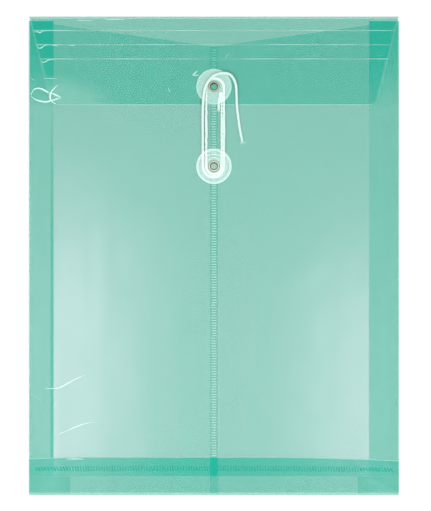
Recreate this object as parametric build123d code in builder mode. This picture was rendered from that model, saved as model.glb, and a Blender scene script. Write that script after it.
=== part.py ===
"""String tie envelope: a flat gusseted pocket of clear film whose flap is tied shut by a cord.

The envelope lies on its back. X runs across it, Y runs from the bottom to the flap's fold,
Z points up through the front. The origin is under the middle of the back. Sizes are in mm.
"""
import os
from math import pi, radians, tan

from build123d import *

os.makedirs("parts", exist_ok=True)

# Film pocket
WIDTH = 240.0
HEIGHT = 310.0
FILM = 0.2
LAYER_GAP = 0.3
LEFT_GUSSET = 16.0
RIGHT_GUSSET = 19.5
SEAM_LAP = 5.2
SEAM_STEP = 1.0
BAND_HEIGHT = 25.0
BAND_LAP = 12.4
CORNER_FOLD = 26.5
CORNER_GAP = 0.4
EDGE_CLEARANCE = 0.15
MOUTH_DEPTH = 19.5
MOUTH_SHOULDER = 1.5

# Flap with its three scored lines
FLAP_LENGTH = 57.5
FLAP_SIDE_INSET = 0.5
FLAP_TAPER = 14.0
FLAP_CORNER = 5.0
FLAP_GAP = 0.7
SCORE_PITCH = 9.2
FOLD_SHARE = 84

# Eyelets
EYELET_BORE_RADIUS = 2.1
EYELET_WALL = 0.25
EYELET_FLANGE_RADIUS = 3.6
EYELET_FLANGE = 0.45
EYELET_LIP_RADIUS = 3.2
EYELET_LIP = 0.3
EYELET_ROLL = 0.2
EYELET_LIP_ROLL = 0.12
HOLE_CLEARANCE = 0.05

# Washers that the cord winds under
WASHER_RADIUS = 11.4
WASHER_DISC = 0.8
WASHER_COLLAR_RADIUS = 3.75
WASHER_COLLAR = 2.9
WASHER_RIM = 0.5
WASHER_BEAD = 0.3
WASHER_BEAD_RADII = (7.4, 9.4)
WASHER_PLAY = 0.05
WASHER_SPACING = 51.2
WASHER_FROM_FLAP_END = 11.5

# Cord
CORD = 1.8
CORD_REST_GAP = 0.15
CORD_POST_GAP = 0.3
CORD_TURN_GAP = 0.45
CORD_KNOT_RADIUS = 1.2
CORD_KNOT_DROP = 4.6
CORD_KNOT_INSET = 0.5
CORD_HANDOVER = 12.0
GAP_SAMPLES = 600

# Levels and edges that follow from the film's layers
LAYER_STEP = FILM + LAYER_GAP
FRONT_BOTTOM = 3 * LAYER_STEP
FRONT_TOP = FRONT_BOTTOM + FILM
LAP_TOP = FRONT_TOP + FILM
BAND_TOP = LAP_TOP + FILM
FLAP_BOTTOM = LAP_TOP + FLAP_GAP
FLAP_TOP = FLAP_BOTTOM + FILM
FOLD_RADIUS = FLAP_TOP / 2
BAND_RADIUS = BAND_TOP / 2
EDGE_RADIUS = (LAYER_STEP + FILM) / 2
PLEAT_EDGE = WIDTH / 2 - EDGE_RADIUS
PANEL_EDGE = PLEAT_EDGE - EDGE_CLEARANCE
FOLD_LINE = HEIGHT / 2
POCKET_TOP = FOLD_LINE - FOLD_RADIUS
POCKET_BOTTOM = BAND_RADIUS - HEIGHT / 2
BAND_EDGE = BAND_HEIGHT - HEIGHT / 2
FRONT_END = BAND_EDGE - BAND_LAP
FLAP_END = FOLD_LINE - FLAP_LENGTH
SCORES = [FOLD_LINE - SCORE_PITCH * count for count in (1, 2, 3)]

# Places of the two washers, and the cord's turns round them
UPPER_Y = FLAP_END + WASHER_FROM_FLAP_END
LOWER_Y = UPPER_Y - WASHER_SPACING
EYELET_RADIUS = EYELET_BORE_RADIUS + EYELET_WALL
FILM_HOLE = EYELET_RADIUS + HOLE_CLEARANCE
CORD_Z = FLAP_TOP + CORD_REST_GAP + CORD / 2
INNER_TURN = WASHER_COLLAR_RADIUS + CORD_POST_GAP + CORD / 2
OUTER_TURN = INNER_TURN + CORD + CORD_TURN_GAP
OVER_DISC_Z = FLAP_TOP + WASHER_PLAY + WASHER_COLLAR + WASHER_DISC + WASHER_BEAD + CORD_REST_GAP + CORD / 2
HANDOVER_Y = LOWER_Y + CORD_HANDOVER
KNOT_CENTRE = (INNER_TURN - CORD_KNOT_INSET, UPPER_Y - CORD_KNOT_DROP)


def keep(builder, name):
    """Label a finished piece and write it."""
    builder.part.label = name
    export_step(builder.part, f"parts/{name}.step")


def corner_radii(points):
    """Give each inner point of a route the largest arc that its two runs leave room for."""
    radii = []
    for before, corner, after in zip(points, points[1:], points[2:]):
        arriving = Vector(corner) - Vector(before)
        leaving = Vector(after) - Vector(corner)
        half_turn = radians(arriving.get_angle(leaving)) / 2
        radii.append(0.45 * min(arriving.length, leaving.length) / tan(half_turn))
    return radii


def least_gap(path, diameter):
    """Measure the smallest clear gap between stretches of one cord, on points along it."""
    points = [path @ (index / GAP_SAMPLES) for index in range(GAP_SAMPLES + 1)]
    apart = int(GAP_SAMPLES * pi * INNER_TURN / path.length)
    distances = [
        (points[first] - points[second]).length
        for first in range(0, GAP_SAMPLES + 1)
        for second in range(first + apart, GAP_SAMPLES + 1)
    ]
    return min(distances) - diameter


# Back panel, flat between its edges
with BuildPart() as back_panel:
    with BuildSketch():
        with Locations((0, POCKET_BOTTOM)):
            Rectangle(
                2 * PANEL_EDGE, POCKET_TOP - POCKET_BOTTOM, align=(Align.CENTER, Align.MIN)
            )
    extrude(amount=FILM)
keep(back_panel, "back_panel")

# Back half of the flap's fold, which turns up from the back panel's top edge
with BuildPart() as top_fold:
    with BuildSketch(Plane.YZ):
        with BuildLine():
            JernArc((POCKET_TOP, FILM / 2), (1, 0), FOLD_RADIUS - FILM / 2, FOLD_SHARE)
        trace(line_width=FILM)
    extrude(amount=PANEL_EDGE, both=True)
keep(top_fold, "top_fold")


def pleat(side, depth, panel_level, pleat_level):
    """Build one half of a side pleat: round the panel's edge, in to the crease, half round it.

    The half that leaves the back climbs to the crease, and the half that leaves the front drops to it.
    """
    edge = side * PLEAT_EDGE
    bend = (pleat_level - panel_level) / 2
    crease = side * (WIDTH / 2 - depth + abs(bend) + FILM / 2)
    with BuildPart() as half:
        with BuildSketch(Plane.XZ):
            with BuildLine():
                ThreePointArc(
                    (edge, panel_level),
                    (edge + side * abs(bend), panel_level + bend),
                    (edge, pleat_level),
                )
                run = Line((edge, pleat_level), (crease, pleat_level))
                JernArc(run @ 1, run % 1, abs(bend), -90 * side if bend > 0 else 90 * side)
            trace(line_width=FILM)
        extrude(amount=-POCKET_BOTTOM)
        extrude(half.faces().sort_by(Axis.Y)[-1], amount=POCKET_TOP - MOUTH_SHOULDER)
        # The bottom end is cut on a slant, from the crease down to the outer edge
        with BuildSketch():
            with BuildLine():
                Polyline(
                    (side * (WIDTH / 2 - depth), FRONT_END),
                    (side * WIDTH / 2, POCKET_BOTTOM),
                    (side * (WIDTH / 2 - depth), POCKET_BOTTOM),
                    close=True,
                )
            make_face()
        extrude(amount=FRONT_TOP, mode=Mode.SUBTRACT)
    return half


LEVELS = [FILM / 2 + LAYER_STEP * layer for layer in range(4)]
for side_name, side, depth in (("left", -1, LEFT_GUSSET), ("right", 1, RIGHT_GUSSET)):
    keep(pleat(side, depth, LEVELS[0], LEVELS[1]), f"{side_name}_gusset_back_half")
    keep(pleat(side, depth, LEVELS[3], LEVELS[2]), f"{side_name}_gusset_front_half")

# Corners of the blank that are folded in flat under the bottom band
for side_name, side in (("left", -1), ("right", 1)):
    with BuildPart() as corner_fold:
        with BuildSketch(Plane.XY.offset(FRONT_BOTTOM)):
            with Locations((side * (PANEL_EDGE - CORNER_FOLD / 2), POCKET_BOTTOM)):
                Rectangle(
                    CORNER_FOLD, FRONT_END - CORNER_GAP - POCKET_BOTTOM, align=(Align.CENTER, Align.MIN)
                )
        extrude(amount=FILM)
    keep(corner_fold, f"{side_name}_corner_fold")

# Front, in two panels that lap at the welded centre seam under a shallow V mouth
with BuildSketch() as front_outline:
    with BuildLine():
        Polyline(
            (-PANEL_EDGE, FRONT_END),
            (PANEL_EDGE, FRONT_END),
            (PANEL_EDGE, POCKET_TOP - MOUTH_SHOULDER),
            (0, FOLD_LINE - MOUTH_DEPTH),
            (-PANEL_EDGE, POCKET_TOP - MOUTH_SHOULDER),
            close=True,
        )
    make_face()
    with Locations((0, LOWER_Y)):
        Circle(FILM_HOLE, mode=Mode.SUBTRACT)

with BuildPart() as front_left_panel:
    with BuildSketch(Plane.XY.offset(FRONT_BOTTOM)):
        add(front_outline.sketch)
        with Locations((SEAM_LAP / 2, 0)):
            Rectangle(WIDTH, HEIGHT, align=(Align.MAX, Align.CENTER), mode=Mode.INTERSECT)
    extrude(amount=FILM)
keep(front_left_panel, "front_left_panel")

with BuildPart() as front_right_panel:
    with BuildSketch(Plane.XZ):
        with BuildLine():
            Polyline(
                (PANEL_EDGE, FRONT_BOTTOM + FILM / 2),
                (SEAM_LAP / 2 + HOLE_CLEARANCE + FILM + SEAM_STEP, FRONT_BOTTOM + FILM / 2),
                (SEAM_LAP / 2 + HOLE_CLEARANCE + FILM, FRONT_TOP + FILM / 2),
                (-SEAM_LAP / 2, FRONT_TOP + FILM / 2),
            )
        trace(line_width=FILM)
    extrude(amount=HEIGHT / 2, both=True)
    with BuildSketch():
        add(front_outline.sketch)
    extrude(amount=FLAP_TOP, mode=Mode.INTERSECT)
keep(front_right_panel, "front_right_panel")

# Bottom band: the film's end, turned up round the bottom and welded on the front
with BuildPart() as bottom_band:
    with BuildSketch(Plane.YZ):
        with BuildLine():
            ThreePointArc(
                (POCKET_BOTTOM, FILM / 2),
                (POCKET_BOTTOM - BAND_RADIUS + FILM / 2, BAND_RADIUS),
                (POCKET_BOTTOM, BAND_TOP - FILM / 2),
            )
            Line((POCKET_BOTTOM, BAND_TOP - FILM / 2), (BAND_EDGE, BAND_TOP - FILM / 2))
        trace(line_width=FILM)
    extrude(amount=PANEL_EDGE, both=True)
keep(bottom_band, "bottom_band")

# Flap: three scored strips and a tongue cut from one tapered outline
with BuildSketch() as flap_outline:
    with BuildLine():
        Polyline(
            (-WIDTH / 2 + FLAP_SIDE_INSET, FOLD_LINE),
            (WIDTH / 2 - FLAP_SIDE_INSET, FOLD_LINE),
            (WIDTH / 2 - FLAP_SIDE_INSET - FLAP_TAPER, FLAP_END),
            (-WIDTH / 2 + FLAP_SIDE_INSET + FLAP_TAPER, FLAP_END),
            close=True,
        )
    make_face()
    fillet(flap_outline.vertices().group_by(Axis.Y)[0], radius=FLAP_CORNER)
    with Locations((0, UPPER_Y)):
        Circle(FILM_HOLE, mode=Mode.SUBTRACT)

with BuildPart() as flap_upper_strip:
    with BuildSketch(Plane.YZ):
        with BuildLine():
            strip_flat = Line((SCORES[0], FLAP_TOP - FILM / 2), (POCKET_TOP, FLAP_TOP - FILM / 2))
            JernArc(strip_flat @ 1, strip_flat % 1, FOLD_RADIUS - FILM / 2, -90)
        trace(line_width=FILM)
    extrude(amount=WIDTH / 2, both=True)
    with BuildSketch():
        add(flap_outline.sketch)
    extrude(amount=FLAP_TOP, mode=Mode.INTERSECT)
keep(flap_upper_strip, "flap_upper_strip")


def flap_panel(top, bottom):
    """Cut the stretch of the flap between two lines across it."""
    with BuildPart() as panel:
        with BuildSketch(Plane.XY.offset(FLAP_BOTTOM)):
            add(flap_outline.sketch)
            with Locations((0, bottom)):
                Rectangle(WIDTH, top - bottom, align=(Align.CENTER, Align.MIN), mode=Mode.INTERSECT)
        extrude(amount=FILM)
    return panel


keep(flap_panel(SCORES[0], SCORES[1]), "flap_middle_strip")
keep(flap_panel(SCORES[1], SCORES[2]), "flap_lower_strip")
keep(flap_panel(SCORES[2], FLAP_END), "flap_tongue")


def washer(centre_y, film_top):
    """Build a dished washer: a collar that stands on the film and a beaded disc on top."""
    foot = film_top + WASHER_PLAY
    disc_bottom = foot + WASHER_COLLAR
    disc_top = disc_bottom + WASHER_DISC
    bore = EYELET_RADIUS + WASHER_PLAY
    with BuildPart() as button:
        with BuildSketch(Plane((0, centre_y, 0), x_dir=(1, 0, 0), z_dir=(0, -1, 0))):
            with Locations((bore, foot)):
                Rectangle(WASHER_COLLAR_RADIUS - bore, WASHER_COLLAR, align=Align.MIN)
            with Locations((bore, disc_bottom)):
                Rectangle(WASHER_RADIUS - WASHER_RIM - bore, WASHER_DISC, align=Align.MIN)
            with Locations((WASHER_RADIUS - WASHER_RIM, disc_bottom + WASHER_DISC / 2)):
                Circle(WASHER_RIM)
            with Locations(*[(radius, disc_top) for radius in WASHER_BEAD_RADII]):
                Circle(WASHER_BEAD)
        revolve(axis=Axis((0, centre_y, 0), (0, 0, 1)))
    return button


keep(washer(UPPER_Y, FLAP_TOP), "upper_washer")
keep(washer(LOWER_Y, LAP_TOP), "lower_washer")


def eyelet(centre_y, film_bottom, film_top):
    """Build a rolled eyelet that rivets a washer to the film between its flange and its lip."""
    flange_bottom = film_top + 2 * WASHER_PLAY + WASHER_COLLAR + WASHER_DISC
    with BuildPart() as rivet:
        with BuildSketch(Plane((0, centre_y, 0), x_dir=(1, 0, 0), z_dir=(0, -1, 0))) as section:
            with BuildLine():
                Polyline(
                    (EYELET_BORE_RADIUS, film_bottom - EYELET_LIP),
                    (EYELET_LIP_RADIUS, film_bottom - EYELET_LIP),
                    (EYELET_LIP_RADIUS, film_bottom),
                    (EYELET_RADIUS, film_bottom),
                    (EYELET_RADIUS, flange_bottom),
                    (EYELET_FLANGE_RADIUS, flange_bottom),
                    (EYELET_FLANGE_RADIUS, flange_bottom + EYELET_FLANGE),
                    (EYELET_BORE_RADIUS, flange_bottom + EYELET_FLANGE),
                    close=True,
                )
            make_face()
            fillet(section.vertices().group_by(Axis.Y)[-1], radius=EYELET_ROLL)
            fillet(section.vertices().group_by(Axis.Y)[0], radius=EYELET_LIP_ROLL)
        revolve(axis=Axis((0, centre_y, 0), (0, 0, 1)))
    return rivet


keep(eyelet(UPPER_Y, FLAP_BOTTOM, FLAP_TOP), "upper_eyelet")
keep(eyelet(LOWER_Y, FRONT_BOTTOM, LAP_TOP), "lower_eyelet")

# Cord winding: two flat turns round both posts, each outside the last
with BuildPart() as string_winding:
    with BuildLine(Plane.XY.offset(CORD_Z)) as turns:
        Line((INNER_TURN, KNOT_CENTRE[1]), (INNER_TURN, LOWER_Y))
        CenterArc((0, LOWER_Y), INNER_TURN, 0, -180)
        Line((-INNER_TURN, LOWER_Y), (-INNER_TURN, UPPER_Y))
        CenterArc(
            ((OUTER_TURN - INNER_TURN) / 2, UPPER_Y), (OUTER_TURN + INNER_TURN) / 2, 180, -180
        )
        Line((OUTER_TURN, UPPER_Y), (OUTER_TURN, LOWER_Y))
        CenterArc((0, LOWER_Y), OUTER_TURN, 0, -180)
        Line((-OUTER_TURN, LOWER_Y), (-OUTER_TURN, HANDOVER_Y))
    with BuildSketch(Plane((INNER_TURN, KNOT_CENTRE[1], CORD_Z), z_dir=(0, -1, 0))):
        Circle(CORD / 2)
    sweep(path=turns.wire())
keep(string_winding, "string_winding")
print(f"winding: length {turns.wire().length:.1f}, least gap {least_gap(turns.wire(), CORD):.2f}")
print(f"winding: volume over section times length "
      f"{string_winding.part.volume / (pi * CORD ** 2 / 4 * turns.wire().length):.4f}")

# Free end: up beside the turns, over the upper washer, and down on the front
FREE_END_ROUTE = [
    (-OUTER_TURN, HANDOVER_Y, CORD_Z),
    (-OUTER_TURN, HANDOVER_Y + 7.0, CORD_Z),
    (-OUTER_TURN - 0.1, UPPER_Y - 20.0, CORD_Z + 1.2),
    (-OUTER_TURN + 0.2, UPPER_Y - 10.0, OVER_DISC_Z),
    (-OUTER_TURN + 1.3, UPPER_Y - 0.5, OVER_DISC_Z + 0.1),
    (-1.6, UPPER_Y + 6.2, OVER_DISC_Z),
    (4.2, UPPER_Y + 8.6, OVER_DISC_Z),
    (10.6, UPPER_Y + 8.2, OVER_DISC_Z - 0.3),
    (14.2, UPPER_Y + 2.4, CORD_Z + 2.2),
    (14.6, UPPER_Y - 5.0, CORD_Z + 0.3),
    (14.8, UPPER_Y - 12.6, CORD_Z + 0.1),
    (15.8, UPPER_Y - 20.4, CORD_Z - 0.5),
    (16.8, UPPER_Y - 28.0, CORD_Z - 0.9),
    (18.4, UPPER_Y - 35.2, CORD_Z - 1.0),
]
with BuildPart() as string_free_end:
    with BuildLine() as free_line:
        FilletPolyline(*FREE_END_ROUTE, radius=corner_radii(FREE_END_ROUTE))
    with BuildSketch(Plane(FREE_END_ROUTE[0], z_dir=(0, 1, 0))):
        Circle(CORD / 2)
    sweep(path=free_line.wire())
keep(string_free_end, "string_free_end")
print("free end: radii", [round(radius, 1) for radius in corner_radii(FREE_END_ROUTE)])
print(f"free end: length {free_line.wire().length:.1f}, volume over section times length "
      f"{string_free_end.part.volume / (pi * CORD ** 2 / 4 * free_line.wire().length):.4f}")

# Knot beside the upper post, with the short tail that hangs from it
KNOT_Z = FLAP_TOP + CORD_REST_GAP + CORD_KNOT_RADIUS
TAIL_ROUTE = [
    (KNOT_CENTRE[0], KNOT_CENTRE[1], KNOT_Z),
    (2.9, UPPER_Y - 9.4, CORD_Z + 0.1),
    (2.4, UPPER_Y - 14.6, CORD_Z),
]
with BuildPart() as string_knot_tail:
    with BuildLine() as tail_line:
        FilletPolyline(*TAIL_ROUTE, radius=corner_radii(TAIL_ROUTE))
    with BuildSketch(Plane(TAIL_ROUTE[0], z_dir=Vector(TAIL_ROUTE[1]) - Vector(TAIL_ROUTE[0]))):
        Circle(CORD / 2)
    sweep(path=tail_line.wire())
    with Locations(TAIL_ROUTE[0]):
        Sphere(CORD_KNOT_RADIUS)
keep(string_knot_tail, "string_knot_tail")
print("tail: radii", [round(radius, 1) for radius in corner_radii(TAIL_ROUTE)])
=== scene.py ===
"""Dress the string tie envelope: clear film, moulded washers, pressed eyelets and a twisted cord.

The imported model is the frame. It lies on its back, X across, Y up to the flap's fold, Z out of the
front, in metres. Sizes in the classes are in millimetres and turn to metres in one place.
"""
import sys
import logging
import math
import random
from dataclasses import dataclass, field
from enum import Enum
from functools import lru_cache
from typing import Callable, Iterable, Sequence

import bpy
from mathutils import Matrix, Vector


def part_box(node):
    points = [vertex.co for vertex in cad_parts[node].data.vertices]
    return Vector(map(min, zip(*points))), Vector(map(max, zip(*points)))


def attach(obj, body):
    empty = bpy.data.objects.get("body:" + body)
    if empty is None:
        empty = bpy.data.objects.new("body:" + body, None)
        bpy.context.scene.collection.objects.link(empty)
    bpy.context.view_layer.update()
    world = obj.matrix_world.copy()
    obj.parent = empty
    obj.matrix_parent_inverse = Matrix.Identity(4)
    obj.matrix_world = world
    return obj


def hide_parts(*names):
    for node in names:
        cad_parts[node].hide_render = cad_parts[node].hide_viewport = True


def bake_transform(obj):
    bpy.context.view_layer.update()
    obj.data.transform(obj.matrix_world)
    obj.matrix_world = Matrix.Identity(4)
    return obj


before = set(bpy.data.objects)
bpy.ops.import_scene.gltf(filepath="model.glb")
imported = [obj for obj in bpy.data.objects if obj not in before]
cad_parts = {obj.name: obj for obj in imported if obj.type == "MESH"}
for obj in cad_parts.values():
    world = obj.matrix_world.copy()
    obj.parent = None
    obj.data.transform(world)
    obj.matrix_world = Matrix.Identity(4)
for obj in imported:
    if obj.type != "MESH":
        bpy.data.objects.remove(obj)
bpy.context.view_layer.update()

LOG = logging.getLogger("envelope")
MM = 0.001
# Half widths over which one film changes to another, and insets from the pleats' folds, in millimetres
PLEAT_BLUR = 0.8
WELD_BLUR = 0.2
OUTER_FOLD = (1.2, 0.4)
INNER_CREASE = (2.0, 1.5)

Point = tuple[float, float, float]
Shape = tuple[list, list]
Tree = bpy.types.NodeTree
Socket = bpy.types.NodeSocket
Material = bpy.types.Material
Piece = bpy.types.Object


class Side(Enum):
    """Left or right edge of the envelope, seen from its front."""

    LEFT = "left"
    RIGHT = "right"


class Slot(Enum):
    """Kinds of finish of the pieces that are made here."""

    FILM = "film"
    STRING = "string"


# Small helpers


def linear(hex_colour: str, alpha: float = 1.0) -> tuple[float, float, float, float]:
    """Turn an sRGB hex colour to linear light.

    Args:
        hex_colour: Six hex digits after a hash sign.
        alpha: Opacity to carry along.

    Returns:
        Red, green, blue and alpha, linear.
    """
    shares = [int(hex_colour[start:start + 2], 16) / 255 for start in (1, 3, 5)]
    red, green, blue = (
        share / 12.92 if share <= 0.04045 else ((share + 0.055) / 1.055) ** 2.4 for share in shares
    )
    return red, green, blue, alpha


def add_node(tree: Tree, kind: str, settings: dict | None = None,
             inputs: dict | None = None) -> bpy.types.Node:
    """Add one shader node with its settings, values and links.

    Args:
        tree: Node tree that takes the node.
        kind: Blender's name of the node type.
        settings: Attributes of the node itself.
        inputs: Values or output sockets for its input sockets, by name or index.

    Returns:
        The new node.
    """
    node = tree.nodes.new(kind)
    for name, value in (settings or {}).items():
        setattr(node, name, value)
    for key, value in (inputs or {}).items():
        if isinstance(value, Socket):
            tree.links.new(value, node.inputs[key])
        else:
            node.inputs[key].default_value = value
    return node


@lru_cache(maxsize=None)
def box_mm(node: str) -> tuple[Vector, Vector]:
    """Give a CAD node's lowest and highest corners in millimetres."""
    low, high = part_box(node)
    return Vector(low) / MM, Vector(high) / MM


def new_material(name: str) -> tuple[Material, Tree, bpy.types.Node]:
    """Start a material.

    Args:
        name: Common name of the real material, after how its surface was made.

    Returns:
        The material, its node tree and its Principled shader.
    """
    material = bpy.data.materials.new(name)
    material.use_nodes = True
    return material, material.node_tree, material.node_tree.nodes["Principled BSDF"]


def axis_radius(tree: Tree, spot: Socket, centre: Vector) -> Socket:
    """Measure how far a place is from an upright axis.

    Args:
        tree: Node tree of the material.
        spot: Place on the piece.
        centre: A point on the axis, in millimetres.

    Returns:
        The distance in metres.
    """
    offset = add_node(tree, "ShaderNodeVectorMath", {"operation": "SUBTRACT"}, {
        0: spot, 1: (centre.x * MM, centre.y * MM, 0.0)})
    flat = add_node(tree, "ShaderNodeVectorMath", {"operation": "MULTIPLY"}, {
        0: offset.outputs[0], 1: (1.0, 1.0, 0.0)})
    length = add_node(tree, "ShaderNodeVectorMath", {"operation": "LENGTH"}, {0: flat.outputs[0]})
    return length.outputs["Value"]


def rise_along(tree: Tree, spot: Socket, axis: str, start: float, end: float, height: float = 1.0,
               middle: float | None = None) -> Socket:
    """Rise evenly from 0 between two places along an axis.

    Args:
        tree: Node tree of the material.
        spot: Place on the piece.
        axis: X, Y or Z.
        start: Where the rise begins, in millimetres.
        end: Where it ends, in millimetres.
        height: Value at the end and beyond.
        middle: Place to both sides of which start and end are counted, if they are.

    Returns:
        The value.
    """
    place = add_node(tree, "ShaderNodeSeparateXYZ", inputs={0: spot}).outputs[axis]
    if middle is not None:
        offset = add_node(tree, "ShaderNodeMath", {"operation": "SUBTRACT"}, {0: place, 1: middle * MM})
        apart = add_node(tree, "ShaderNodeMath", {"operation": "ABSOLUTE"}, {0: offset.outputs[0]})
        place = apart.outputs[0]
    rise = add_node(tree, "ShaderNodeMapRange", inputs={
        "Value": place, "From Min": start * MM, "From Max": end * MM, "To Max": height})
    return rise.outputs["Result"]


def mesh_piece(name: str, points: Sequence[Point], faces: Sequence[Sequence[int]],
               stress: Sequence[float] | None = None, flat_from: int | None = None) -> Piece:
    """Make a smooth mesh object from points in millimetres.

    Args:
        name: Name of the piece.
        points: Vertex positions in millimetres.
        faces: Vertex indices of each face.
        stress: How far the film is whitened, 0 to 1 at each vertex, by bending or as a painted highlight.
        flat_from: First face that keeps a crisp edge, such as a film's cut rim.

    Returns:
        The object, linked to the scene.
    """
    mesh = bpy.data.meshes.new(name)
    mesh.from_pydata([tuple(part * MM for part in point) for point in points], [], list(faces))
    if stress is not None:
        layer = mesh.attributes.new("stress", "FLOAT", "POINT")
        layer.data.foreach_set("value", list(stress))
    smooth = len(faces) if flat_from is None else flat_from
    mesh.polygons.foreach_set("use_smooth", [index < smooth for index in range(len(faces))])
    crisp = {frozenset(edge) for face in faces[smooth:] for edge in zip(face, face[1:] + face[:1])}
    mesh.edges.foreach_set("use_edge_sharp", [frozenset(edge.vertices) in crisp for edge in mesh.edges])
    mesh.update()
    piece = bpy.data.objects.new(name, mesh)
    bpy.context.scene.collection.objects.link(piece)
    return piece


def settle(piece: Piece, body: str | None, slot: Slot, finish: Material, *nodes: str) -> Piece:
    """Give a piece its finish, its body and the CAD nodes that it stands for.

    Args:
        piece: The new piece.
        body: Body that carries it, or None to leave it unattached where it lies between two bodies.
        slot: Kind of its finish; film casts no shadow.
        finish: Its material.
        nodes: CAD nodes that it replaces.

    Returns:
        The same piece.
    """
    piece.data.materials.clear()
    piece.data.materials.append(finish)
    if body:
        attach(piece, body)
    if nodes:
        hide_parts(*nodes)
    # Clear film shades the layers under it far less than its opacity would make it
    piece.visible_shadow = slot is not Slot.FILM
    LOG.info("%s on %s", piece.name, body or "two bodies")
    return piece


def dress(node: str, finish: Material, clear: bool = False) -> None:
    """Give a CAD node its finish.

    Args:
        node: Name of the node.
        finish: Its material.
        clear: Whether it is film that lets light through to the layers under it.
    """
    piece = bpy.data.objects[node]
    piece.data.materials.clear()
    piece.data.materials.append(finish)
    piece.visible_shadow = not clear
    LOG.info("%s dressed", node)


def film_sheet(name: str, rows: Sequence[Sequence[tuple[Point, float]]], thickness: float,
               hole: tuple[float, float, float] | None = None) -> Piece:
    """Close a grid of middle points into a thin film with a top, a bottom and a rim.

    Args:
        name: Name of the piece.
        rows: Rows of equal length; each entry is a middle point and its whitening, from bending or a
            painted highlight.
        thickness: Film thickness in millimetres.
        hole: Middle X, middle Y and radius of a round hole, if the film has one.

    Returns:
        The film object.
    """
    count, width = len(rows), len(rows[0])
    middles = [Vector(point) for row in rows for point, _ in row]
    stress = [value for row in rows for _, value in row]
    normals = []
    for index in range(count * width):
        row, column = divmod(index, width)
        left, right = index - column + max(column - 1, 0), index - column + min(column + 1, width - 1)
        below, above = max(row - 1, 0) * width + column, min(row + 1, count - 1) * width + column
        along, across = middles[right] - middles[left], middles[above] - middles[below]
        normals.append(along.cross(across).normalized())
    starts = [row * width + column for row in range(count - 1) for column in range(width - 1)]
    cells = [(start, start + 1, start + width + 1, start + width) for start in starts]
    if hole:
        centre, radius = Vector(hole[:2]), hole[2]
        reach = [(middle.xy - centre).length for middle in middles]
        cells = [cell for cell in cells if min(reach[corner] for corner in cell) > radius]
    used = dict.fromkeys(edge for cell in cells for edge in zip(cell, cell[1:] + cell[:1]))
    rim = [edge for edge in used if (edge[1], edge[0]) not in used]
    if hole:
        for corner in {corner for edge in rim for corner in edge}:
            offset = middles[corner].xy - centre
            if offset.length < 2 * radius:
                ring = centre + offset.normalized() * radius
                middles[corner] = Vector((ring.x, ring.y, middles[corner].z))
    total = count * width
    points = [tuple(spot + way * thickness / 2) for spot, way in zip(middles, normals)]
    points += [tuple(spot - way * thickness / 2) for spot, way in zip(middles, normals)]
    faces = list(cells)
    faces += [tuple(corner + total for corner in reversed(cell)) for cell in cells]
    faces += [(second, first, first + total, second + total) for first, second in rim]
    kept = sorted({corner for face in faces for corner in face})
    place = {corner: spot for spot, corner in enumerate(kept)}
    return mesh_piece(
        name,
        [points[corner] for corner in kept],
        [tuple(place[corner] for corner in face) for face in faces],
        [stress[corner % total] for corner in kept],
        2 * len(cells),
    )


def cross_frames(points: Sequence[Vector]) -> list[tuple[Vector, Vector]]:
    """Carry two crosswise directions along a line without turning them about it.

    Args:
        points: Points of the line.

    Returns:
        Two unit vectors across the line at each point.
    """
    last = len(points) - 1
    normal = (points[1] - points[0]).normalized().orthogonal().normalized()
    frames = []
    for index in range(len(points)):
        way = (points[min(index + 1, last)] - points[max(index - 1, 0)]).normalized()
        normal = (normal - way * normal.dot(way)).normalized()
        frames.append((normal, way.cross(normal)))
    return frames


def tube(points: Sequence[Vector], radius: Callable[[float], float], sides: int) -> Shape:
    """Sweep a round section along points, with closed ends.

    Args:
        points: Middle line in millimetres.
        radius: Radius at a share of the length, 0 to 1.
        sides: Corners of the section.

    Returns:
        Vertex positions and faces.
    """
    vertices, faces = [], []
    for index, (spot, (normal, other)) in enumerate(zip(points, cross_frames(points))):
        size = radius(index / (len(points) - 1))
        for corner in range(sides):
            angle = 2 * math.pi * corner / sides
            vertices.append(tuple(spot + (normal * math.cos(angle) + other * math.sin(angle)) * size))
    for index in range(len(points) - 1):
        for corner in range(sides):
            near, far = index * sides, (index + 1) * sides
            after = (corner + 1) % sides
            faces.append((near + corner, near + after, far + after, far + corner))
    faces.append(tuple(reversed(range(sides))))
    faces.append(tuple(range((len(points) - 1) * sides, len(points) * sides)))
    return vertices, faces


def join_shapes(shapes: Iterable[Shape]) -> Shape:
    """Put several vertex and face lists into one.

    Args:
        shapes: Pairs of vertex positions and faces.

    Returns:
        All vertex positions and all faces.
    """
    vertices, faces = [], []
    for some_vertices, some_faces in shapes:
        start = len(vertices)
        vertices.extend(some_vertices)
        faces.extend(tuple(corner + start for corner in face) for face in some_faces)
    return vertices, faces


def spread(start: float, end: float, steps: int) -> list[float]:
    """Divide a stretch into equal steps, both ends included."""
    return [start + (end - start) * step / steps for step in range(steps + 1)]


# Finishes


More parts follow.
